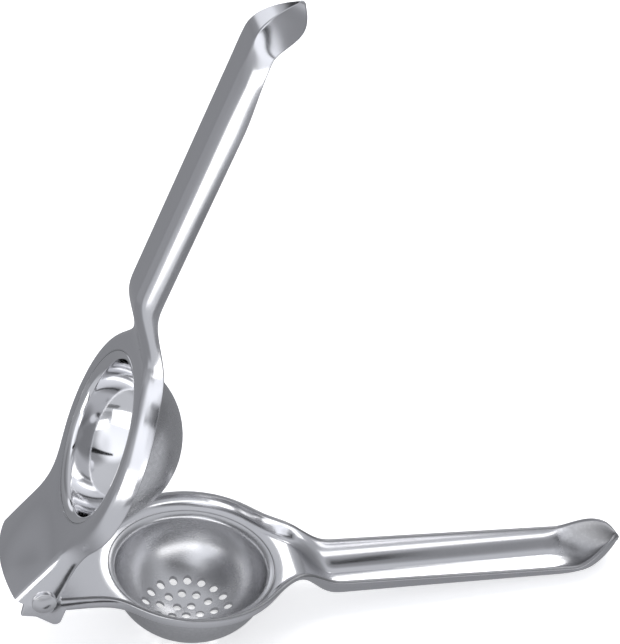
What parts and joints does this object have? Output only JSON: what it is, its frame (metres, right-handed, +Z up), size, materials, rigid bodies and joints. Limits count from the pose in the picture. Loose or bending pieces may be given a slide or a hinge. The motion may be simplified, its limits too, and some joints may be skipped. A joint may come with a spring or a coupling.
{
  "type": "hinged lemon squeezer",
  "caption": "Hand squeezer of pressed steel: lower lever with a perforated bowl, upper lever with a press dome, riveted together at the broad end so that the dome closes into the bowl.",
  "frame": {"origin": "middle of the bottom of the whole squeezer's bounding box, at rest with the upper lever standing open", "axes": "+Z up, +X from the hinge towards the lower handle's tip, +Y along the hinge line, from the right-hand rivet to the left-hand one"},
  "size_m": [0.2329, 0.0786, 0.242],
  "materials": {
    "steel_sheet": "polished",
    "steel_bowl": "satin",
    "steel_dome": "polished",
    "rivet_steel": "satin"
  },
  "bodies": {
    "lower": {"lower_lever": "steel_sheet", "strainer_bowl": "steel_bowl", "left_rivet": "rivet_steel", "right_rivet": "rivet_steel"},
    "upper": {"upper_lever": "steel_sheet", "press_dome": "steel_dome"}
  },
  "joints": [
    {"name": "hinge", "type": "hinge", "parent": "lower", "child": "upper", "pos_m": [-0.10334, 0, 0.03932], "axis": [0, 1, 0], "range_deg": [-50, 62]}
  ]
}
